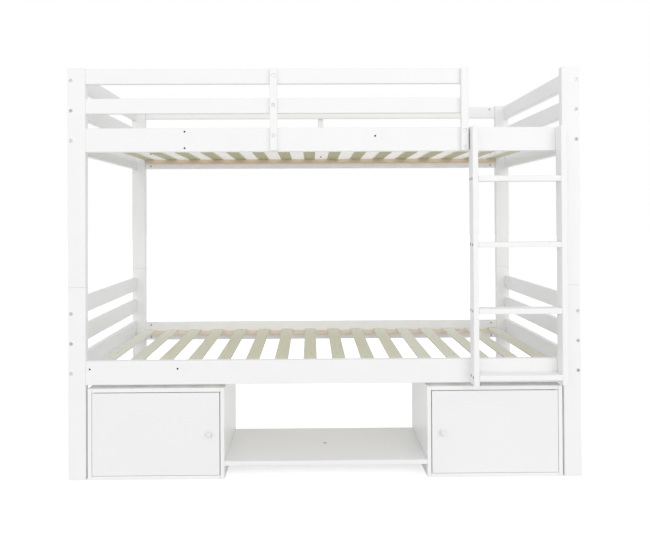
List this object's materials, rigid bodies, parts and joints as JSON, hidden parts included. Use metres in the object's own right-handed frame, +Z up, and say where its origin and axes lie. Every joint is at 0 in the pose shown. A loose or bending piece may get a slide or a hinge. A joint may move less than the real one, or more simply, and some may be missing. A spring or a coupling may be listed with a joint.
{
  "type": "bunk bed",
  "caption": "Bunk bed with storage: white boarded frame with guard rails, upright ladder and slatted berths, over low hinged-door cabinets with a shelf between.",
  "frame": {"origin": "centre of the bounding box at floor level, under the middle of the bed", "axes": "+X along the bed towards its ladder end, +Y from the front with ladder and doors to the back, +Z up"},
  "size_m": [2.08, 1.0676, 1.665],
  "materials": {
    "white_board": "smooth white lacquer on solid wood, satin",
    "white_panel": "smooth white painted board, satin",
    "slat_wood": "bare planed softwood, pale with a green grey cast",
    "white_knob": "turned knob in white lacquer, semi-gloss",
    "pivot_metal": "zinc-plated steel"
  },
  "bodies": {
    "root": {"front_left_lower_post": "white_board", "front_left_upper_post": "white_board", "front_right_lower_post": "white_board", "front_right_upper_post": "white_board", "rear_left_lower_post": "white_board", "rear_left_upper_post": "white_board", "rear_right_lower_post": "white_board", "rear_right_upper_post": "white_board", "left_lower_end_bottom_rail": "white_board", "left_lower_end_middle_rail": "white_board", "left_lower_end_top_rail": "white_board", "right_lower_end_bottom_rail": "white_board", "right_lower_end_middle_rail": "white_board", "right_lower_end_top_rail": "white_board", "left_upper_end_bottom_rail": "white_board", "left_upper_end_middle_rail": "white_board", "left_upper_end_top_rail": "white_board", "right_upper_end_bottom_rail": "white_board", "right_upper_end_middle_rail": "white_board", "right_upper_end_top_rail": "white_board", "front_lower_side_rail": "white_board", "rear_lower_side_rail": "white_board", "front_upper_side_rail": "white_board", "rear_upper_side_rail": "white_board", "front_top_guard_rail": "white_board", "front_lower_guard_rail": "white_board", "rear_top_guard_rail": "white_board", "rear_lower_guard_rail": "white_board", "front_middle_guard_post": "white_board", "front_end_guard_post": "white_board", "rear_guard_post": "white_board", "ladder_left_rail": "white_board", "ladder_right_rail": "white_board", "ladder_rung_1": "white_board", "ladder_rung_2": "white_board", "ladder_rung_3": "white_board", "ladder_rung_4": "white_board", "lower_slat_base": "slat_wood", "upper_slat_base": "slat_wood", "left_cabinet_outer_side": "white_panel", "left_cabinet_inner_side": "white_panel", "left_cabinet_bottom": "white_panel", "left_cabinet_top": "white_panel", "left_cabinet_back": "white_panel", "left_door_bottom_pivot": "pivot_metal", "left_door_top_pivot": "pivot_metal", "right_cabinet_outer_side": "white_panel", "right_cabinet_inner_side": "white_panel", "right_cabinet_bottom": "white_panel", "right_cabinet_top": "white_panel", "right_cabinet_back": "white_panel", "right_door_bottom_pivot": "pivot_metal", "right_door_top_pivot": "pivot_metal", "shelf": "white_panel", "shelf_foot": "white_board"},
    "left_door": {"left_door": "white_panel", "left_door_knob": "white_knob"},
    "right_door": {"right_door": "white_panel", "right_door_knob": "white_knob"}
  },
  "joints": [
    {"name": "left_door_swing", "type": "hinge", "parent": "root", "child": "left_door", "pos_m": [-0.9388, -0.4685, 0.1835], "axis": [0, 0, -1], "range_deg": [0, 100]},
    {"name": "right_door_swing", "type": "hinge", "parent": "root", "child": "right_door", "pos_m": [0.9388, -0.4685, 0.1835], "axis": [0, 0, 1], "range_deg": [0, 100]}
  ]
}
